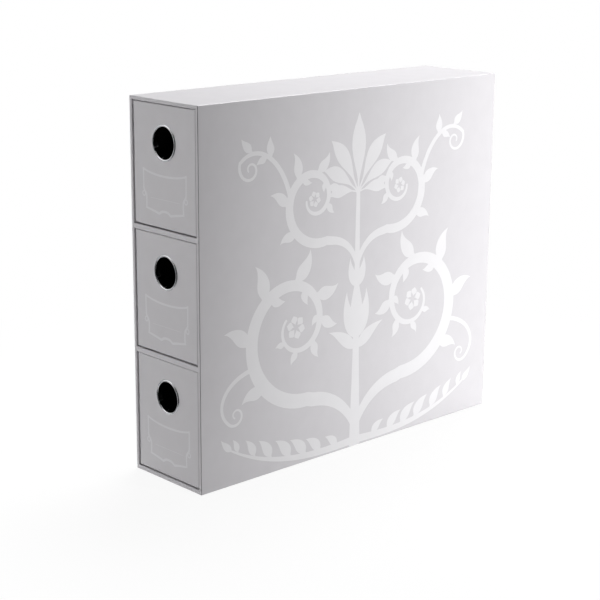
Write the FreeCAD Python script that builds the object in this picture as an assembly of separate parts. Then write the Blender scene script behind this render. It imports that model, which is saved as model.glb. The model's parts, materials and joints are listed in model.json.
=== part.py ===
import FreeCAD, Part
import math
import os

# Drawer box for trading cards: a rigid greyboard case covered in paper, with a stack of equal
# trays that pull out of its front. The cards stand upright in the trays, one behind another,
# and each tray has a metal finger ring in its front.
#
# Millimetres, +Z up. The origin is on the table under the middle of the case, and the trays
# pull out towards -Y. Every board, sheet of paper and metal piece is a solid of its own, and
# all that is glued together meets face to face.

Vector = FreeCAD.Vector

# Case, over its covering paper
case_width = 84.0
case_depth = 343.0
case_height = 310.0
case_fold_radius = 0.7       # outer edges, where the paper folds round the boards
mouth_fold_radius = 0.5      # inner edges of the front frame
turn_in = 14.0               # how far the covering paper runs into each bay
back_flap = 16.0             # covering paper folded over onto the back

# Greyboard
frame_board = 2.5            # sides, top and back of the case
bottom_board = 3.0
shelf_board = 3.75
tray_front_board = 2.5
tray_board = 2.0             # sides, back and base of a tray

# Paper
cover_paper = 0.25           # silver-grey covering paper
lining_paper = 0.25          # black lining
pasted_sheet = 0.25          # sheets that close the underside and the back of the case
sheet_margin = 2.0           # from such a sheet's edge to the edge of the case

# Trays, from top to bottom, and their running gaps in a bay
tray_names = ("drawer_top", "drawer_middle", "drawer_bottom")
tray_recess = 0.85           # tray front behind the front edge of the case
tray_side_gap = 0.7
tray_top_gap = 0.5
tray_foot_gap = 0.8
tray_rear_gap = 0.75
tray_fold_radius = 1.0
rim_fold_radius = 0.75       # inner edge of a tray's open top
rim_turn_in = 12.0           # covering paper folded down inside a tray

# Finger ring: a flanged tube, clinched over a washer inside the tray
ring_bore = 25.2
ring_tube_wall = 0.5
ring_flange_width = 1.9
ring_flange_height = 0.8
ring_clinch_width = 1.3
ring_clinch_height = 0.7
ring_hole_clearance = 0.1    # on the radius, between the tube and what it passes through
ring_below_top = 29.5        # ring's centre below the tray's top edge
flange_steps = 3             # flats that make up the flange's dome
clinch_steps = 2
washer_width = 2.4
washer_thickness = 0.6

near = 0.01                  # how close a point lies to a plane that it is on


def block(x, y, z):
    """A box between two limits on each axis."""
    return Part.makeBox(x[1] - x[0], y[1] - y[0], z[1] - z[0], Vector(x[0], y[0], z[0]))


def inset(limits, amount):
    """Both limits moved inwards, or outwards for a negative amount."""
    return (limits[0] + amount, limits[1] - amount)


def fold(shape, edges, radius):
    """Covering paper: round the edges it folds over."""
    return shape.makeFillet(radius, edges)


def rounded_along(axis, x, y, z, radius, rear_end):
    """A block with its edges along one axis rounded, apart from those at rear_end."""
    bar = block(x, y, z)
    edges = []
    for edge in bar.Edges:
        start, end = (vertex.Point for vertex in edge.Vertexes)
        if abs((end - start).dot(axis)) > near and min(start.y, end.y) < rear_end - near:
            edges.append(edge)
    return fold(bar, edges, radius)


def wrapped_block(x, y, z, radius, rear_end=math.inf):
    """A block in covering paper, rounded at its folds, which meet in a mitre at each corner."""
    axes = (Vector(0, 0, 1), Vector(0, 1, 0), Vector(1, 0, 0))
    upright, lengthwise, crosswise = (rounded_along(axis, x, y, z, radius, rear_end) for axis in axes)
    return upright.common(lengthwise).common(crosswise)


def ease(shape, edges, radius):
    """Boards: break the edges with a flat that touches a rounding of that radius at its middle."""
    return shape.makeChamfer(radius * (2 - math.sqrt(2)), edges)


def rim_edges(shape, normal, level, x, y, z):
    """The edges in the plane where `normal` meets `level` that border a hollow with limits x, y, z."""
    found = []
    for edge in shape.Edges:
        points = [vertex.Point for vertex in edge.Vertexes]
        in_plane = all(abs(point.dot(normal) - level) < near for point in points)
        at_hollow = all(x[0] - near < point.x < x[1] + near and y[0] - near < point.y < y[1] + near
                        and z[0] - near < point.z < z[1] + near for point in points)
        if in_plane and at_hollow:
            found.append(edge)
    return found


def save(shape, node):
    """Write one node, as its bare solid."""
    shape.Solids[0].exportStep("parts/" + node + ".step")


# Bays: equal clear heights between the bottom, the shelves and the top

half_width = case_width / 2
front_face = -case_depth / 2
back_face = case_depth / 2
bay_paper = max(cover_paper, lining_paper)
tray_count = len(tray_names)

cover_x = (-half_width, half_width)
cover_y = (front_face, back_face - pasted_sheet)
cover_z = (pasted_sheet, case_height)
board_x = inset(cover_x, cover_paper)
board_y = inset(cover_y, cover_paper)
board_z = inset(cover_z, cover_paper)

hollow_x = inset(board_x, frame_board)
hollow_back = board_y[1] - frame_board
hollow_floor = board_z[0] + bottom_board
hollow_roof = board_z[1] - frame_board
bay_hollow_height = (hollow_roof - hollow_floor - (tray_count - 1) * shelf_board) / tray_count
bay_pitch = bay_hollow_height + shelf_board
bay_floors = [hollow_floor + bay_pitch * level for level in range(tray_count)]
bay_hollows = [(floor, floor + bay_hollow_height) for floor in bay_floors]
shelf_levels = [(below[1], above[0]) for below, above in zip(bay_hollows, bay_hollows[1:])]
turn_in_end = front_face + turn_in


def mouth_edges(shape, plane_y, x, paper):
    """The inner edges of the front frame, round every bay."""
    edges = []
    for hollow_z in bay_hollows:
        edges += rim_edges(shape, Vector(0, 1, 0), plane_y, x, (plane_y, plane_y), inset(hollow_z, paper))
    return edges


def case_boards():
    """All the case's boards as one block, before they are parted at their glued joints."""
    boards = block(board_x, board_y, board_z)
    boards = ease(boards, boards.Edges, case_fold_radius - cover_paper)
    for hollow_z in bay_hollows:
        boards = boards.cut(block(hollow_x, (board_y[0], hollow_back), hollow_z))
    return ease(boards, mouth_edges(boards, board_y[0], hollow_x, 0), mouth_fold_radius)


def part_boards(boards):
    """The case's boards: full side boards, with the others butted between them."""
    slabs = {
        "side_left_board": block((board_x[0], hollow_x[0]), board_y, board_z),
        "side_right_board": block((hollow_x[1], board_x[1]), board_y, board_z),
        "bottom_board": block(hollow_x, board_y, (board_z[0], hollow_floor)),
        "top_board": block(hollow_x, board_y, (hollow_roof, board_z[1])),
        "back_board": block(hollow_x, (hollow_back, board_y[1]), (hollow_floor, hollow_roof)),
    }
    for name, level in zip(("shelf_lower", "shelf_upper"), shelf_levels):
        slabs[name + "_board"] = block(hollow_x, (board_y[0], hollow_back), level)
    return {name: boards.common(slab) for name, slab in slabs.items()}


def case_covering(boards):
    """Covering paper round the boards, with its turn-ins; the shelves have strips of their own."""
    mouth_x = inset(hollow_x, cover_paper)
    paper = wrapped_block(cover_x, cover_y, cover_z, case_fold_radius)
    for hollow_z in bay_hollows:
        paper = paper.cut(block(hollow_x, (turn_in_end, hollow_back), hollow_z))
        paper = paper.cut(block(mouth_x, (front_face, turn_in_end), inset(hollow_z, cover_paper)))
    edges = mouth_edges(paper, front_face, mouth_x, cover_paper)
    paper = fold(paper, edges, mouth_fold_radius + cover_paper)
    paper = paper.cut(boards)
    window_x = inset(cover_x, back_flap)
    window_z = inset(cover_z, back_flap)
    paper = paper.cut(block(window_x, (board_y[1], cover_y[1]), window_z))
    strips = {}
    for name, level in zip(("shelf_lower", "shelf_upper"), shelf_levels):
        place = block(mouth_x, (front_face, turn_in_end), inset(level, -cover_paper))
        strips[name + "_cover"] = paper.common(place)
        paper = paper.cut(place)
    return {"case_cover": paper, **strips}


def pasted_sheets():
    """The sheets that close the underside and the back, set in from the edges."""
    sheet_x = inset(cover_x, sheet_margin)
    return {
        "base_sheet": block(sheet_x, inset(cover_y, sheet_margin), (0, pasted_sheet)),
        "back_sheet": block(sheet_x, (cover_y[1], back_face), inset(cover_z, sheet_margin)),
    }


def bay_lining(hollow_z):
    """Black paper on the five inner faces of a bay, from the turn-ins to the back."""
    outside = block(hollow_x, (turn_in_end, hollow_back), hollow_z)
    clear_y = (turn_in_end, hollow_back - lining_paper)
    return outside.cut(block(inset(hollow_x, lining_paper), clear_y, inset(hollow_z, lining_paper)))


# Trays, drawn in the lowest bay and copied up by the pitch of the bays

tray_half_width = -hollow_x[0] - bay_paper - tray_side_gap
tray_x = (-tray_half_width, tray_half_width)
tray_y = (front_face + tray_recess, hollow_back - bay_paper - tray_rear_gap)
tray_z = (hollow_floor + bay_paper + tray_foot_gap, bay_hollows[0][1] - bay_paper - tray_top_gap)
tray_core_x = inset(tray_x, cover_paper)
tray_core_y = inset(tray_y, cover_paper)
tray_core_z = inset(tray_z, cover_paper)
tray_hollow_x = inset(tray_core_x, tray_board)
tray_hollow_y = (tray_core_y[0] + tray_front_board, tray_core_y[1] - tray_board)
tray_hollow_z = (tray_core_z[0] + tray_board, tray_z[1])
rim_end = tray_z[1] - rim_turn_in
ring_centre = Vector(0, tray_y[0], tray_z[1] - ring_below_top)
bore_radius = ring_bore / 2
tube_radius = bore_radius + ring_tube_wall
hole_radius = tube_radius + ring_hole_clearance


def edges_before(shape, rear):
    """Every edge but those round the rear face: a tray's rear end is folded crisply."""
    return [edge for edge in shape.Edges if edge.BoundBox.YMin < rear - near]


def top_edges(shape, level, x, y):
    """The inner edges of the tray's open top."""
    return rim_edges(shape, Vector(0, 0, 1), level, x, y, (level, level))


def tray_boards():
    """All of a tray's boards as one block, with the hole for the ring."""
    core = block(tray_core_x, tray_core_y, tray_core_z)
    core = ease(core, edges_before(core, tray_core_y[1]), tray_fold_radius - cover_paper)
    core = core.cut(block(tray_hollow_x, tray_hollow_y, tray_hollow_z))
    core = ease(core, top_edges(core, tray_core_z[1], tray_hollow_x, tray_hollow_y), rim_fold_radius)
    return core.cut(ring_hole())


def ring_hole():
    """The round hole through a tray's front, its paper and its lining."""
    depth = tray_hollow_y[0] + lining_paper - tray_y[0]
    return Part.makeCylinder(hole_radius, depth, ring_centre, Vector(0, 1, 0))


def part_tray_boards(boards):
    """A tray's boards: front and back full width, sides between them, base inside all four."""
    slabs = {
        "front_board": block(tray_core_x, (tray_core_y[0], tray_hollow_y[0]), tray_core_z),
        "back_board": block(tray_core_x, (tray_hollow_y[1], tray_core_y[1]), tray_core_z),
        "left_board": block((tray_core_x[0], tray_hollow_x[0]), tray_hollow_y, tray_core_z),
        "right_board": block((tray_hollow_x[1], tray_core_x[1]), tray_hollow_y, tray_core_z),
        "base_board": block(tray_hollow_x, tray_hollow_y, (tray_core_z[0], tray_hollow_z[0])),
    }
    return {name: boards.common(slab) for name, slab in slabs.items()}


def tray_covering(boards):
    """Covering paper on a tray's outside, folded over the rim and down inside."""
    paper = wrapped_block(tray_x, tray_y, tray_z, tray_fold_radius, tray_y[1])
    mouth_x = inset(tray_hollow_x, cover_paper)
    mouth_y = inset(tray_hollow_y, cover_paper)
    paper = paper.cut(block(tray_hollow_x, tray_hollow_y, (tray_hollow_z[0], rim_end)))
    paper = paper.cut(block(mouth_x, mouth_y, (rim_end, tray_z[1])))
    paper = fold(paper, top_edges(paper, tray_z[1], mouth_x, mouth_y), rim_fold_radius + cover_paper)
    return paper.cut(boards).cut(ring_hole())


def tray_lining():
    """Black paper on a tray's inner faces, up to the covering paper's turn-in."""
    outside = block(tray_hollow_x, tray_hollow_y, (tray_hollow_z[0], rim_end))
    clear_z = (tray_hollow_z[0] + lining_paper, rim_end)
    clear = block(inset(tray_hollow_x, lining_paper), inset(tray_hollow_y, lining_paper), clear_z)
    return outside.cut(clear).cut(ring_hole())


def dome(start, end, height, steps):
    """Points over a dome from one radius to another, for a turned profile; its highest point or flat
    is at the full height."""
    middle = (start + end) / 2
    half = (end - start) / 2
    turns = [math.pi * step / steps for step in range(steps + 1)]
    rise = height / max(math.sin(turn) for turn in turns)
    return [Vector(middle - half * math.cos(turn), rise * math.sin(turn), 0) for turn in turns]


def finger_ring():
    """The ring: a domed flange, a tube through the front, and its clinched end."""
    through = cover_paper + tray_front_board + lining_paper + washer_thickness
    flange = dome(bore_radius, bore_radius + ring_flange_width, -ring_flange_height, flange_steps)
    clinch = dome(bore_radius + ring_clinch_width, bore_radius, ring_clinch_height, clinch_steps)
    tube = [Vector(tube_radius, 0, 0), Vector(tube_radius, through, 0)]
    outline = flange + tube + [point + Vector(0, through, 0) for point in clinch]
    profile = Part.Face(Part.makePolygon(outline + outline[:1]))
    ring = profile.revolve(Vector(0, 0, 0), Vector(0, 1, 0), 360)
    return ring.translated(ring_centre)


def ring_washer():
    """The washer between the tray's lining and the clinched end of the ring."""
    seat = ring_centre + Vector(0, cover_paper + tray_front_board + lining_paper, 0)
    along = Vector(0, 1, 0)
    disc = Part.makeCylinder(hole_radius + washer_width, washer_thickness, seat, along)
    return disc.cut(Part.makeCylinder(hole_radius, washer_thickness, seat, along))


def tray_pieces():
    """Every piece of a tray, in the lowest bay."""
    boards = tray_boards()
    pieces = part_tray_boards(boards)
    pieces["cover"] = tray_covering(boards)
    pieces["lining"] = tray_lining()
    pieces["finger_ring"] = finger_ring()
    pieces["ring_washer"] = ring_washer()
    return pieces


os.makedirs("parts", exist_ok=True)

boards = case_boards()
for node, piece in {**part_boards(boards), **case_covering(boards), **pasted_sheets()}.items():
    save(piece, node)

tray = tray_pieces()
for level, tray_name in enumerate(reversed(tray_names)):
    bay = tray_name.replace("drawer", "bay")
    save(bay_lining(bay_hollows[level]), bay + "_lining")
    for name, piece in tray.items():
        save(piece.translated(Vector(0, 0, bay_pitch * level)), tray_name + "_" + name)
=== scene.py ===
import json
import math

import bmesh
import bpy
from mathutils import Matrix, Vector
from mathutils.geometry import delaunay_2d_cdt


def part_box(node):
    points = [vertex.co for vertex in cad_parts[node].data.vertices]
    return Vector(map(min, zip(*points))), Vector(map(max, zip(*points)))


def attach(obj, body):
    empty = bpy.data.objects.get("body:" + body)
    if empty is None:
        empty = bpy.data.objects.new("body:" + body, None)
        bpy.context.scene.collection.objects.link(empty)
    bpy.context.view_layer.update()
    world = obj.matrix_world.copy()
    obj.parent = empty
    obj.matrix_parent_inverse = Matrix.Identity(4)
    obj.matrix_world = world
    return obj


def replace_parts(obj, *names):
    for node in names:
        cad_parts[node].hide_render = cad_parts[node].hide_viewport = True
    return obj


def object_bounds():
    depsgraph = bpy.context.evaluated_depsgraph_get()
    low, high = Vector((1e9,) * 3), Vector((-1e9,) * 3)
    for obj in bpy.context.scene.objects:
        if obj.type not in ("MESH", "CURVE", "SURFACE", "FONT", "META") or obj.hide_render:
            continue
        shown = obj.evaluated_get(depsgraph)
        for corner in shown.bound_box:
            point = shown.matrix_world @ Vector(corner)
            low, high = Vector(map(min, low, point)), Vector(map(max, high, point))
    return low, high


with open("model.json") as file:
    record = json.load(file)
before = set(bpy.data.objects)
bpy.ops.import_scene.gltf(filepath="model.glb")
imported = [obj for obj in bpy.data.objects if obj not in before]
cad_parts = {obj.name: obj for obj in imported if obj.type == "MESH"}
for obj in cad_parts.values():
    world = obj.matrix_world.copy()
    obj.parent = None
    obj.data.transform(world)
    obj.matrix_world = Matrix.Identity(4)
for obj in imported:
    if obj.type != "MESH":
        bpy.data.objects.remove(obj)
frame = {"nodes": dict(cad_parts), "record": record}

cad_low, cad_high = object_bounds()
MM = 0.001

case_side_x = cad_high.x
case_edge_width = 1.5 * MM      # folds nearer than this to the case's sides are its outer ones, which get painted shade
ink_film = 0.04 * MM
drawers = ("drawer_top", "drawer_middle", "drawer_bottom")
tray_top_gap = 0.5 * MM         # between a drawer and the top of its bay

# The finger ring's sizes, as on its CAD solid, whose box gives its width and depth.
ring_bore = 25.2 * MM
ring_wall = 0.5 * MM
ring_flange_height = 0.8 * MM
ring_roll_width = 1.3 * MM
ring_roll_height = 0.7 * MM


def linear(hex_colour):
    """An sRGB hex colour as Blender's linear numbers."""
    levels = [int(hex_colour[i:i + 2], 16) / 255 for i in (1, 3, 5)]
    return tuple(v / 12.92 if v <= 0.04045 else ((v + 0.055) / 1.055) ** 2.4 for v in levels) + (1.0,)


def per_metre(size_mm):
    """Texture scale at which one cell of a pattern is size_mm across."""
    return 1 / (size_mm * MM)


# ---------------------------------------------------------------- camera

# The box is looked at from in front of its right side, a little from above.
camera_place = Vector((918.67, -889.56, 459.11)) * MM
camera_turn = math.radians(46.7771)
camera_tip = math.radians(14.7450)
camera_roll = math.radians(0.4017)
film_width = 36.0
focal_length = 91.473
nearest_seen = 0.05
farthest_seen = 50


def set_camera():
    """Sets the camera where the values above put it, as the one that renders."""
    ahead = Vector((-math.sin(camera_turn) * math.cos(camera_tip),
                    math.cos(camera_turn) * math.cos(camera_tip), -math.sin(camera_tip)))
    level = Vector((math.cos(camera_turn), math.sin(camera_turn), 0))
    above = level.cross(ahead)
    right = level * math.cos(camera_roll) + above * math.sin(camera_roll)
    up = above * math.cos(camera_roll) - level * math.sin(camera_roll)
    lens = bpy.data.cameras.new("camera")
    lens.lens, lens.sensor_width, lens.sensor_fit = focal_length, film_width, "HORIZONTAL"
    lens.clip_start, lens.clip_end = nearest_seen, farthest_seen
    camera = bpy.data.objects.new("camera", lens)
    turned = Matrix((right, up, -ahead)).transposed().to_4x4()
    camera.matrix_world = Matrix.Translation(camera_place) @ turned
    bpy.context.scene.collection.objects.link(camera)
    bpy.context.scene.camera = camera


# ---------------------------------------------------------------- materials

cloud_roughness = 0.55


def add(tree, kind, settings=None, **sockets):
    """Adds one node: settings are its own properties, sockets are values or the outputs wired to them.
    A socket goes by its label, with _ for a space, or by its number after a _."""
    node = tree.nodes.new(kind)
    for name, value in (settings or {}).items():
        setattr(node, name, value)
    for name, value in sockets.items():
        socket = node.inputs[int(name[1:]) if name[0] == "_" else name.replace("_", " ")]
        if isinstance(value, bpy.types.NodeSocket):
            tree.links.new(value, socket)
        else:
            socket.default_value = value
    return node


def new_material(name):
    """An empty material, and the tree its nodes go in."""
    material = bpy.data.materials.new(name)
    material.use_nodes = True
    material.node_tree.nodes.clear()
    return material, material.node_tree


def finish_surface(tree, shader):
    tree.links.new(shader, add(tree, "ShaderNodeOutputMaterial").inputs["Surface"])


def cloudy(tree, place, size_mm, low, high, detail=3.0):
    """Soft uneven patches between two hex colours, as pulp, film and plating leave them. Gives the
    colour, and how far each place has gone from the first colour to the second."""
    share = add(tree, "ShaderNodeTexNoise", None, Vector=place, Scale=per_metre(size_mm),
                Detail=detail, Roughness=cloud_roughness).outputs["Fac"]
    mixed = add(tree, "ShaderNodeMix", {"data_type": "RGBA"}, _0=share, _6=linear(low), _7=linear(high))
    return mixed.outputs[2], share


def uneven(tree, place, size_mm, height_mm, detail):
    """Dents and swellings of the surface, size_mm across and height_mm deep."""
    relief = add(tree, "ShaderNodeTexNoise", None, Vector=place, Scale=per_metre(size_mm),
                 Detail=detail, Roughness=cloud_roughness).outputs["Fac"]
    return add(tree, "ShaderNodeBump", None, Height=relief, Distance=height_mm * MM).outputs[0]


def upright_fold_shade(tree, place, from_middle):
    """Where painted shade goes: 1 on the folds round upright edges more than from_middle to the left or
    right, 0 elsewhere.
    A flat's normal lies along one axis; a fold's lies between two, and an upright fold's is level."""
    facing = add(tree, "ShaderNodeTexCoord").outputs["Normal"]
    sizes = add(tree, "ShaderNodeVectorMath", {"operation": "ABSOLUTE"}, _0=facing).outputs["Vector"]
    axes = add(tree, "ShaderNodeSeparateXYZ", None, _0=sizes).outputs
    most = add(tree, "ShaderNodeMath", {"operation": "MAXIMUM"}, _0=axes["X"], _1=axes["Y"]).outputs[0]
    turned = add(tree, "ShaderNodeMapRange", None, Value=most, From_Min=0.80, From_Max=0.995,
                 To_Min=1.0, To_Max=0.0).outputs[0]
    level = add(tree, "ShaderNodeMapRange", None, Value=axes["Z"], From_Min=0.1, From_Max=0.4,
                To_Min=1.0, To_Max=0.0).outputs[0]
    across = add(tree, "ShaderNodeSeparateXYZ", None, _0=place).outputs["X"]
    offset = add(tree, "ShaderNodeMath", {"operation": "ABSOLUTE"}, _0=across).outputs[0]
    far = add(tree, "ShaderNodeMath", {"operation": "GREATER_THAN"}, _0=offset, _1=from_middle).outputs[0]
    both = add(tree, "ShaderNodeMath", {"operation": "MULTIPLY"}, _0=turned, _1=level).outputs[0]
    return add(tree, "ShaderNodeMath", {"operation": "MULTIPLY"}, _0=both, _1=far).outputs[0]


def wrap_paper(name, dull, bright, roughness=0.42, fold_shade=None, from_middle=0.0):
    """Smooth paper, or ink on it: even colour, a broad soft sheen, and the faint orange peel that it
    takes from the board under it. Where a fold colour is given, painted shade in that colour goes on
    the folds round upright edges, so that they read as thin dark lines."""
    material, tree = new_material(name)
    place = add(tree, "ShaderNodeTexCoord").outputs["Object"]
    colour, _ = cloudy(tree, place, 14, dull, bright)
    if fold_shade:
        # Painted shade: the fold colour is mixed over the paper's colour on the upright folds.
        share = upright_fold_shade(tree, place, from_middle)
        colour = add(tree, "ShaderNodeMix", {"data_type": "RGBA"}, _0=share, _6=colour,
                     _7=linear(fold_shade)).outputs[2]
    shader = add(tree, "ShaderNodeBsdfPrincipled", None, Base_Color=colour, Roughness=roughness, IOR=1.5,
                 Normal=uneven(tree, place, 1.6, 0.004, 2.0))
    finish_surface(tree, shader.outputs[0])
    return material


def lining_paper():
    """Black uncoated lining paper, calendered: dull, with short pale fibres that catch a little light."""
    material, tree = new_material("black_uncoated_lining_paper")
    place = add(tree, "ShaderNodeTexCoord").outputs["Object"]
    colour, _ = cloudy(tree, place, 2.5, "#343234", "#3C3A3D", 5.0)
    shader = add(tree, "ShaderNodeBsdfPrincipled", None, Base_Color=colour, Roughness=0.78, IOR=1.45,
                 Normal=uneven(tree, place, 0.8, 0.03, 4.0))
    finish_surface(tree, shader.outputs[0])
    return material


def grey_board():
    """Greyboard pressed from recycled pulp: dull cloudy grey-brown, flecked with darker fibre."""
    material, tree = new_material("pressed_greyboard")
    place = add(tree, "ShaderNodeTexCoord").outputs["Object"]
    ground, _ = cloudy(tree, place, 9, "#8E8A83", "#A29D95")
    flecks = add(tree, "ShaderNodeTexNoise", None, Vector=place, Scale=per_metre(1.1), Detail=4.0)
    chosen = add(tree, "ShaderNodeMapRange", None, Value=flecks.outputs["Fac"],
                 From_Min=0.60, From_Max=0.68)
    colour = add(tree, "ShaderNodeMix", {"data_type": "RGBA"}, _0=chosen.outputs[0], _6=ground,
                 _7=linear("#6F6A62")).outputs[2]
    bump = add(tree, "ShaderNodeBump", None, Height=flecks.outputs["Fac"], Distance=0.05 * MM)
    shader = add(tree, "ShaderNodeBsdfPrincipled", None, Base_Color=colour, Roughness=0.9, IOR=1.45,
                 Normal=bump.outputs[0])
    finish_surface(tree, shader.outputs[0])
    return material


def plated_metal(name, dull, bright, roughness, grain_mm):
    """Steel drawn in a press and plated: a cold mirror, a little uneven where the press stretched it."""
    material, tree = new_material(name)
    place = add(tree, "ShaderNodeTexCoord").outputs["Object"]
    colour, grain = cloudy(tree, place, grain_mm, dull, bright, 2.0)
    shine = add(tree, "ShaderNodeMapRange", None, Value=grain,
                To_Min=roughness * 0.7, To_Max=roughness * 1.3)
    shader = add(tree, "ShaderNodeBsdfPrincipled", None, Base_Color=colour, Metallic=1.0,
                 Roughness=shine.outputs[0])
    finish_surface(tree, shader.outputs[0])
    return material


# Silver-grey art paper with a pearl matt film laminated on: satin, with painted shade on the folds round
# its upright edges.
case_wrap = wrap_paper("pearl_film_silver_case_paper", "#CAC8CB", "#D0CED1", fold_shade="#868487",
                       from_middle=case_side_x - case_edge_width)
# The drawers' paper, with a paler painted shade on the folds round their upright edges.
tray_wrap = wrap_paper("pearl_film_silver_tray_paper", "#CAC8CB", "#D0CED1", fold_shade="#AEACAF")
# Pearl ink screen-printed on the film: paler than the paper and a little duller; a thin coat on the labels.
side_ink = wrap_paper("screen_printed_pearl_ink", "#DEDDDF", "#E3E2E4", 0.5)
label_ink = wrap_paper("thin_screen_printed_pearl_ink", "#D8D7DA", "#DDDCDF", 0.5)
# Uncoated paper pasted on the back and under the base: the same grey, darker and without the sheen.
pasted_paper = wrap_paper("uncoated_silver_grey_pasted_paper", "#BDBBBE", "#C4C2C5", 0.62)
lining_black = lining_paper()
greyboard = grey_board()
# Polished chrome mirrors sharply; barrel-plated nickel is warmer and only gleams.
ring_chrome = plated_metal("bright_chrome_plate", "#DCDDE0", "#EBECEE", 0.09, 3.0)
washer_nickel = plated_metal("dull_nickel_plate", "#B4B2AE", "#C6C4C0", 0.28, 2.0)

finish_of_slot = {
    "silver_paper": case_wrap,
    "pasted_paper": pasted_paper,
    "black_lining_paper": lining_black,
    "greyboard": greyboard,
    "chromed_ring": ring_chrome,
    "plated_washer": washer_nickel,
}


def paint_nodes():
    """Each CAD node takes the finish of its slot in the record, and the drawers' covers the tray paper,
    whose painted fold shade is paler.
    """
    for part in frame["record"]["subparts"]:
        node = frame["nodes"][part["node"]]
        node.data.materials.clear()
        node.data.materials.append(finish_of_slot[part["material_slot"]])
    for drawer in drawers:
        frame["nodes"][drawer + "_cover"].data.materials[0] = tray_wrap


# ---------------------------------------------------------------- lines and leaves, in mm on a flat face

tip_half = 0.01                 # a leaf's half width at its tip, as a share of its width
stalk_half = 0.06               # and along its stalk
leaf_belly = 1.15               # over 1, it hollows the leaf's edges towards its ends


def bow(start, pull_start, pull_end, end, steps=24):
    """Points of a curve that leaves start towards pull_start and comes into end from pull_end."""
    points = []
    for i in range(steps + 1):
        t = i / steps
        a, b, c, d = (1 - t) ** 3, 3 * t * (1 - t) ** 2, 3 * t * t * (1 - t), t ** 3
        points.append(tuple(a * start[k] + b * pull_start[k] + c * pull_end[k] + d * end[k]
                            for k in (0, 1)))
    return points


def scroll(centre, radius_out, radius_in, start, turn, steps=64):
    """Points of a scroll that winds in round its centre; start and turn in degrees."""
    points = []
    for i in range(steps + 1):
        t = i / steps
        radius = radius_out * (radius_in / radius_out) ** t
        angle = math.radians(start + turn * t)
        points.append((centre[0] + radius * math.cos(angle), centre[1] + radius * math.sin(angle)))
    return points


def heading(points, i):
    """The way a line runs at its point i, in radians."""
    a, b = points[max(i - 1, 0)], points[min(i + 1, len(points) - 1)]
    return math.atan2(b[1] - a[1], b[0] - a[0])


def band(points, halves, run=4):
    """A band round a line, with its half width at each point, in short runs that can't cross themselves."""
    left, right = [], []
    for i, ((u, v), half) in enumerate(zip(points, halves)):
        across = heading(points, i) + math.pi / 2
        left.append((u + half * math.cos(across), v + half * math.sin(across)))
        right.append((u - half * math.cos(across), v - half * math.sin(across)))
    return [left[i:i + run + 1] + right[i:i + run + 1][::-1] for i in range(0, len(points) - 1, run)]


def stroke(points, *widths):
    """A band along a line, its widths spread evenly from end to end."""
    halves = []
    for i in range(len(points)):
        at = i / (len(points) - 1) * (len(widths) - 1)
        k = min(int(at), len(widths) - 2)
        halves.append((widths[k] + (widths[k + 1] - widths[k]) * (at - k)) / 2)
    return band(points, halves)


def leaf(root, angle, length, width, curl=0.0, stalk=0.0, fullest=0.35, steps=14):
    """A pointed leaf on a stalk; curl is how far it turns from root to tip, fullest where it is widest."""
    line, halves = [root], []
    for i in range(steps):
        turned = math.radians(angle + curl * ((i + 0.5) / steps) ** 2)
        u, v = line[-1]
        line.append((u + length / steps * math.cos(turned), v + length / steps * math.sin(turned)))
    swell = math.log(0.5) / math.log(fullest)
    for i in range(steps + 1):
        along = max(0.0, (i / steps - stalk) / (1 - stalk))
        blade = width / 2 * math.sin(math.pi * along ** swell) ** leaf_belly if along < 1 else 0
        halves.append(max(blade, width * stalk_half))
    halves[-1] = width * tip_half
    return band(line, halves)


def leaves_on(line, side, leaves, lean=34, curl=60, stalk=0.18):
    """Leaves along a line: each where it grows (0 to 1), its length and its width."""
    made = []
    for where, length, width in leaves:
        i = round(where * (len(line) - 1))
        along = math.degrees(heading(line, i))
        made += leaf(line[i], along + side * lean, length, width, side * curl, stalk)
    return made


def rosette(centre, petals, turned, radius):
    """Round petals about a small eye."""
    shapes = []
    for k in range(petals):
        angle = math.radians(360 / petals * k + turned)
        root = (centre[0] + 0.3 * radius * math.cos(angle), centre[1] + 0.3 * radius * math.sin(angle))
        shapes += leaf(root, math.degrees(angle), 0.85 * radius, 0.78 * radius, fullest=0.55)
    return shapes


def mirrored(shapes):
    """The same shapes on the other side of the middle, still drawn the same way round."""
    return [[(-u, v) for u, v in shape][::-1] for shape in shapes]


def great_scroll():
    """The large lower scroll, which grows from the stem's foot and winds in round a rosette."""
    eye = (70, 120)
    line = bow((1, 20), (10, 40), (30, 54), (56, 54), 14)[:-1] + scroll(eye, 66, 13, -102, 500, 90)
    return (stroke(line, 7, 12, 13, 12, 9.5, 7.5, 5.5, 4, 3, 2.2)
            + leaves_on(line, -1, ((0.21, 30, 11.5), (0.29, 36, 13), (0.37, 38, 13.5), (0.45, 36, 13),
                                   (0.53, 31, 12), (0.60, 25, 10), (0.67, 20, 8.5)))
            + leaves_on(line, 1, ((0.38, 19, 8), (0.49, 17, 7.5), (0.60, 13, 6)), 58, -30)
            + leaves_on(line, -1, ((0.76, 15, 6.5), (0.85, 12, 5.5)), 34, 50)
            + rosette(eye, 6, 15, 9))


def upper_scroll():
    """The smaller scroll above it, from the upper part of the stem."""
    eye = (50, 224)
    line = bow((0, 160), (4, 178), (18, 188), (36, 187), 10)[:-1] + scroll(eye, 39, 9, -112, 470, 70)
    return (stroke(line, 4, 8, 8.5, 7, 5.5, 4, 3, 2)
            + leaves_on(line, -1, ((0.22, 22, 8.5), (0.31, 26, 9.5), (0.40, 27, 9.5), (0.50, 24, 9),
                                   (0.60, 19, 7.5), (0.69, 14, 6)))
            + leaves_on(line, 1, ((0.42, 13, 5.5), (0.58, 10, 4.6)), 58, -30)
            + rosette(eye, 6, 15, 6))


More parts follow.
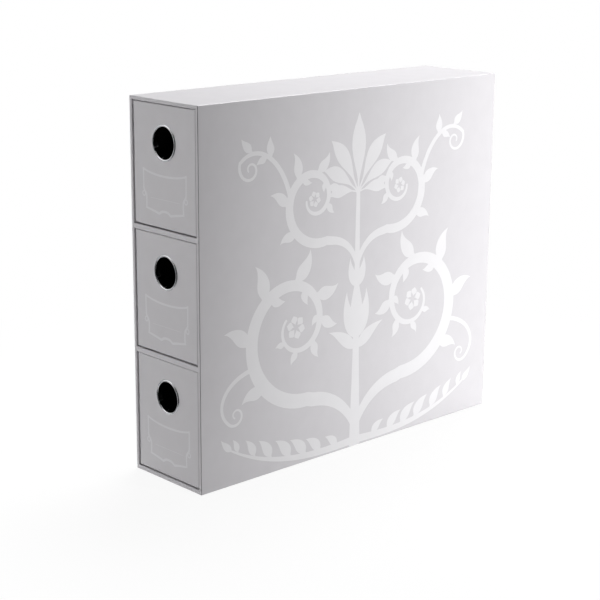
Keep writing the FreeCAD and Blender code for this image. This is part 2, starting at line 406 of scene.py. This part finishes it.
def foot_spray():
    """A spray that lies along the foot, its leaves largest near the middle and smallest at the tip."""
    rib = bow((2, 6), (40, 4), (92, 2), (140, 30), 40)
    leaf_count = 7
    shapes = stroke(rib, 7, 6, 5, 3.5, 1.6)
    for k in range(leaf_count):
        share = k / (leaf_count - 1)
        size = math.sin(math.pi * (0.26 + 0.56 * share))
        where = 0.16 + 0.80 * share
        shapes += leaves_on(rib, 1, ((where, 27 * size, 10.5 * size),), 50, -34, 0.12)
    return shapes + leaf(rib[-1], 40, 16, 6, 20, 0.0)


def tendrils():
    """Two thin shoots that leave the scrolls and curl up at their ends."""
    low = bow((121, 93), (146, 88), (158, 68), (144, 54), 16)
    high = bow((77, 229), (86, 262), (112, 278), (130, 262), 16)
    return (stroke(low[:-1] + scroll((135, 59), 10.2, 2.4, -29, -400, 30), 4.0, 3.0, 2.2, 1.6, 1.3)
            + stroke(high[:-1] + scroll((119, 256), 12.5, 2.5, 28, -430, 30), 4.6, 3.4, 2.4, 1.8, 1.3)
            + leaves_on(high, 1, ((0.46, 19, 8), (0.74, 18, 7.5)), 38, 24)
            + leaves_on(high, -1, ((0.52, 14, 6),), 44, 30))


def palmette():
    """The right-hand leaves of the fan on the stem's top."""
    leaves = []
    for angle, length, width, curl in ((64, 56, 14, 26), (40, 46, 12.5, 34), (14, 34, 10.5, 44)):
        leaves += leaf((0, 224), angle, length, width, -curl, 0.12, 0.62)
    return leaves


def stem_buds():
    """Leaves that hug the stem on its right."""
    return (leaf((0, 96), 64, 46, 13, 34, 0.05) + leaf((0, 88), 40, 38, 11, -24, 0.05)
            + leaf((0, 142), 62, 28, 9, 34, 0.05))


def leaf_scroll_design():
    """The side's ornament: a stem with paired leaf scrolls, the same both sides of the box's middle."""
    half = great_scroll() + upper_scroll() + foot_spray() + tendrils() + palmette() + stem_buds()
    stem = stroke(bow((0, 0.5), (0, 60), (0, 120), (0, 226), 20), 13, 10, 7, 6, 4.5)
    return (half + mirrored(half) + stem + leaf((0, 220), 90, 70, 16, 0, 0.1, 0.6)
            + leaf((0, 98), 90, 58, 15))


# ---------------------------------------------------------------- printed layers

inside_only = 1                 # Blender's number for a triangulation that fills the shapes and no more
weld_within = 0.02              # in mm


def piece_of(name, mesh, finish):
    """A finished mesh becomes a piece of the scene, in one finish."""
    bmesh.ops.recalc_face_normals(mesh, faces=mesh.faces)
    data = bpy.data.meshes.new(name)
    mesh.to_mesh(data)
    mesh.free()
    data.materials.append(finish)
    piece = bpy.data.objects.new(name, data)
    bpy.context.scene.collection.objects.link(piece)
    return piece


def printed_layer(name, shapes, on_face, ink, body):
    """Shapes drawn in mm become one closed film of ink on a body; on_face gives the place of a drawn
    point at a height above the paper."""
    corners, faces = [], []
    for shape in shapes:
        twice_area = sum(a[0] * b[1] - b[0] * a[1] for a, b in zip(shape, shape[1:] + shape[:1]))
        anticlockwise = shape if twice_area > 0 else shape[::-1]
        faces.append(list(range(len(corners), len(corners) + len(shape))))
        corners += [Vector(p) for p in anticlockwise]
    flat, _, filled, _, _, drawn_by = delaunay_2d_cdt(corners, [], faces, inside_only, weld_within)
    triangles = [triangle for triangle, shapes_there in zip(filled, drawn_by) if shapes_there]
    mesh = bmesh.new()
    low = [mesh.verts.new(on_face(p.x, p.y, 0.0)) for p in flat]
    high = [mesh.verts.new(on_face(p.x, p.y, ink_film)) for p in flat]
    for a, b, c in triangles:
        mesh.faces.new((low[c], low[b], low[a]))
        mesh.faces.new((high[a], high[b], high[c]))
    edges = [edge for a, b, c in triangles for edge in ((a, b), (b, c), (c, a))]
    known = set(edges)
    for a, b in edges:
        on_the_rim = (b, a) not in known
        if on_the_rim:
            mesh.faces.new((low[a], low[b], high[b], high[a]))
    piece = piece_of(name, mesh, ink)
    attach(piece, body)


def print_side():
    printed_layer("side_leaf_scroll_print", leaf_scroll_design(),
                  lambda u, v, out: (case_side_x + out, u * MM, v * MM), side_ink, "case")


def label_outline():
    """A plain banner frame with a ruled line to write on. u runs from the drawer front's middle and v
    up from the top of its bay, so that every v is below 0."""
    top_edge = bow((-26.9, -52.6), (-14, -57.4), (14, -57.4), (26.9, -52.6), 18)
    side = bow((26.5, -51.9), (26.5, -58), (26.3, -64), (26.3, -68.6), 6)
    shoulder = bow((26.3, -68.0), (25.6, -70.6), (22.9, -71.2), (22.8, -74.0), 8)
    low_side = bow((22.8, -73.4), (22.6, -77), (22.5, -80), (23.2, -83.9), 6)
    curl = [(26.0 + 1.8 * math.cos(a), -72.4 + 1.9 * math.sin(a)) for a in
            (math.radians(110 - 30 * k) for k in range(12))]
    foot = bow((23.9, -83.1), (18, -84.1), (12, -84.9), (7.3, -86.2), 8)[:-1]
    foot += bow((7.3, -86.2), (4.9, -84.9), (4.4, -83.8), (0, -83.8), 8)
    half = (stroke(side, 1.6, 1.4, 1.6) + stroke(shoulder, 1.7, 1.5) + stroke(low_side, 1.5, 1.7)
            + stroke(curl, 1.0, 1.3) + stroke(foot, 1.6, 1.9, 2.1, 2.0))
    ruled = stroke([(-18, -74.6), (18, -74.6)], 0.3, 0.3)
    return half + mirrored(half) + stroke(top_edge, 1.5, 1.7, 1.7, 1.5) + ruled


def print_labels():
    for drawer in drawers:
        front_low, front_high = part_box(drawer + "_cover")
        face_y, bay_top = front_low.y, front_high.z + tray_top_gap
        printed_layer(drawer + "_label_print", label_outline(),
                      lambda u, v, out: (u * MM, face_y - out, bay_top + v * MM), label_ink, drawer)


# ---------------------------------------------------------------- finger rings

ring_facets = 96
dome_steps = 10
roll_steps = 8
ring_crease = math.radians(50)


def ring_section(outer, depth):
    """Half section of the ring, as radius and depth behind its front: the domed flange, the tube and
    the clinched roll."""
    bore = ring_bore / 2
    middle, half = (outer + bore) / 2, (outer - bore) / 2
    dome = [(middle + half * math.cos(a), ring_flange_height * (1 - math.sin(a)))
            for a in (math.pi * k / dome_steps for k in range(dome_steps + 1))]
    roll_outer = bore + ring_roll_width
    middle, half = (roll_outer + bore) / 2, (roll_outer - bore) / 2
    roll = [(middle - half * math.cos(a), depth - ring_roll_height * (1 - math.sin(a)))
            for a in (math.pi * k / roll_steps for k in range(roll_steps + 1))]
    tube = bore + ring_wall
    return dome + roll + [(tube, depth - ring_roll_height), (tube, ring_flange_height)]


def turned_ring(drawer):
    """The finger ring turned as one smooth closed ring, in the place and to the size of its CAD solid."""
    name = drawer + "_finger_ring"
    low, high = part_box(name)
    middle_x, middle_z = (high.x + low.x) / 2, (high.z + low.z) / 2
    section = ring_section((high.x - low.x) / 2, high.y - low.y)
    mesh = bmesh.new()
    rounds = []
    for k in range(ring_facets):
        across, up = math.cos(2 * math.pi * k / ring_facets), math.sin(2 * math.pi * k / ring_facets)
        rounds.append([mesh.verts.new((middle_x + r * across, low.y + back, middle_z + r * up))
                       for r, back in section])
    for k, here in enumerate(rounds):
        after = rounds[(k + 1) % ring_facets]
        for i in range(len(section)):
            j = (i + 1) % len(section)
            mesh.faces.new((here[i], here[j], after[j], after[i])).smooth = True
    ring = piece_of(drawer + "_turned_ring", mesh, ring_chrome)
    ring.data.set_sharp_from_angle(angle=ring_crease)
    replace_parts(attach(ring, drawer), name)


# ---------------------------------------------------------------- stage

room_light = 0.333
sweep_reach = 4.0
sweep_below_box = 0.2 * MM
table = 1 * MM                  # height at which the cloths lie
black_cloth = ("#050505", "#0B0B0B")


def area_lamp(name, place, aim, width, height, watts, mirrored_by_chrome=True):
    """A softbox, unseen by the camera, that shines from its place towards aim."""
    lamp = bpy.data.lights.new(name, "AREA")
    lamp.shape, lamp.size, lamp.size_y, lamp.energy = "RECTANGLE", width, height, watts
    holder = bpy.data.objects.new(name, lamp)
    holder.location = place
    holder.rotation_euler = (Vector(aim) - Vector(place)).to_track_quat("-Z", "Y").to_euler()
    holder.visible_camera = False
    holder.visible_glossy = mirrored_by_chrome
    bpy.context.scene.collection.objects.link(holder)


def studio_lamps():
    area_lamp("left_softbox", place=(-0.42, -1.10, 0.13), aim=(0, -0.17, 0.05),
              width=0.5, height=0.22, watts=4.74, mirrored_by_chrome=False)
    area_lamp("right_softbox_turned_past_the_box", place=(1.27, 0.394, 0.35), aim=(0.217, 2.247, -0.098),
              width=0.8, height=0.5, watts=48.8, mirrored_by_chrome=False)
    area_lamp("overhead_softbox", place=(-0.35, 0.637, 1.50), aim=(-0.1, 0.19, 0.31),
              width=0.9, height=0.9, watts=27.7)
    area_lamp("rear_left_softbox", place=(-1.15, 1.25, 0.16), aim=(0, 0.05, 0.14),
              width=0.9, height=0.28, watts=8.0)


def seen_directly(tree, in_mirrors=1.0):
    """1 for camera and see-through rays, in_mirrors for mirror rays, 0 for the rays that light things."""
    rays = add(tree, "ShaderNodeLightPath").outputs
    mirrored = add(tree, "ShaderNodeMath", {"operation": "MULTIPLY"}, _0=rays["Is Glossy Ray"],
                   _1=in_mirrors)
    first = add(tree, "ShaderNodeMath", {"operation": "MAXIMUM"}, _0=rays["Is Camera Ray"],
                _1=mirrored.outputs[0])
    return add(tree, "ShaderNodeMath", {"operation": "MAXIMUM"}, _0=first.outputs[0],
               _1=rays["Is Transmission Ray"]).outputs[0]


def one_sheet(name, corners, material):
    """Four corners become one flat sheet of the studio."""
    mesh = bpy.data.meshes.new(name)
    mesh.from_pydata(corners, [], [(0, 1, 2, 3)])
    mesh.materials.append(material)
    sheet = bpy.data.objects.new(name, mesh)
    bpy.context.scene.collection.objects.link(sheet)
    return sheet


def paper_sweep():
    """White matt background paper on the table: it takes a soft shadow near the box and goes over into
    plain white away from it."""
    material, tree = new_material("white_background_paper")
    place = add(tree, "ShaderNodeTexCoord").outputs["Object"]
    tone, _ = cloudy(tree, place, 30, "#F6F6F6", "#FAFAFA")
    matt = add(tree, "ShaderNodeBsdfDiffuse", None, Color=tone)
    white = add(tree, "ShaderNodeEmission")
    away = add(tree, "ShaderNodeVectorMath", {"operation": "LENGTH"}, _0=place).outputs["Value"]
    fade = add(tree, "ShaderNodeMapRange", {"interpolation_type": "SMOOTHSTEP"}, Value=away,
               From_Min=0.22, From_Max=0.50, To_Min=0.91, To_Max=1.0)
    clear_of_box = add(tree, "ShaderNodeMapRange", {"interpolation_type": "SMOOTHSTEP"}, Value=away,
                       From_Min=0.25, From_Max=0.60)
    seen = add(tree, "ShaderNodeMath", {"operation": "MULTIPLY"},
               _0=seen_directly(tree, clear_of_box.outputs[0]), _1=fade.outputs[0])
    shader = add(tree, "ShaderNodeMixShader", None, _0=seen.outputs[0], _1=matt.outputs[0],
                 _2=white.outputs[0])
    finish_surface(tree, shader.outputs[0])
    floor = one_sheet("paper_sweep", [(sweep_reach * u, sweep_reach * v, -sweep_below_box)
                                      for u, v in ((-1, -1), (1, -1), (1, 1), (-1, 1))], material)
    floor.visible_diffuse = False


def lying(*corners):
    """Corners of a cloth on the table."""
    return [(x, y, table) for x, y in corners]


def upright(start, end, foot, top):
    """Corners of a screen that stands on the line from start to end."""
    return [(*start, foot), (*end, foot), (*end, top), (*start, top)]


def mirror_card(name, corners, dark, pale, holds_back_light=False):
    """A card or cloth of the studio that only mirrors show: it gives bright metal something to reflect.
    One that holds back light also takes the room's light away from what faces it."""
    material, tree = new_material(name + "_cloth")
    place = add(tree, "ShaderNodeTexCoord").outputs["Object"]
    tone, _ = cloudy(tree, place, 60, dark, pale)
    finish_surface(tree, add(tree, "ShaderNodeEmission", None, Color=tone).outputs[0])
    card = one_sheet(name, corners, material)
    card.visible_camera = card.visible_shadow = card.visible_transmission = False
    card.visible_diffuse = holds_back_light


def studio_cards():
    mirror_card("black_floor_cloth", lying((-0.06, -0.30), (1.10, 0.35), (1.50, -1.60), (-0.55, -1.60)),
                *black_cloth)
    mirror_card("black_camera_screen", upright((-0.60, -1.60), (1.45, -0.95), 0, 2.2), *black_cloth,
                holds_back_light=True)
    mirror_card("black_right_screen", upright((1.0, -1.00), (1.0, 0.60), 0, 1.6), *black_cloth)
    mirror_card("black_flag_by_the_near_corner", upright((0.15, -0.32), (0.15, -0.05), 0.02, 0.26),
                *black_cloth)
    mirror_card("dark_left_flag", upright((-0.50, -0.30), (-0.50, 1.00), 0, 0.8), "#3A3A3A", "#404040")
    mirror_card("grey_floor_paper", lying((-0.03, -0.20), (0.02, -1.70), (-2.0, -1.70), (-2.0, -0.20)),
                "#A4A4A6", "#AAAAAC")


def set_studio():
    """A white room that looks white and lights the box less, its lamps, its floor and its cards."""
    world = bpy.data.worlds.new("studio")
    bpy.context.scene.world = world
    world.use_nodes = True
    tree = world.node_tree
    tree.nodes.clear()
    strength = add(tree, "ShaderNodeMapRange", None, Value=seen_directly(tree), To_Min=room_light,
                   To_Max=1.0)
    sky = add(tree, "ShaderNodeBackground", None, Color=(1, 1, 1, 1), Strength=strength.outputs[0])
    tree.links.new(sky.outputs[0], add(tree, "ShaderNodeOutputWorld").inputs["Surface"])
    studio_lamps()
    paper_sweep()
    studio_cards()


set_camera()
paint_nodes()
print_side()
print_labels()
for drawer in drawers:
    turned_ring(drawer)
set_studio()
bpy.context.scene.view_settings.view_transform = "Standard"
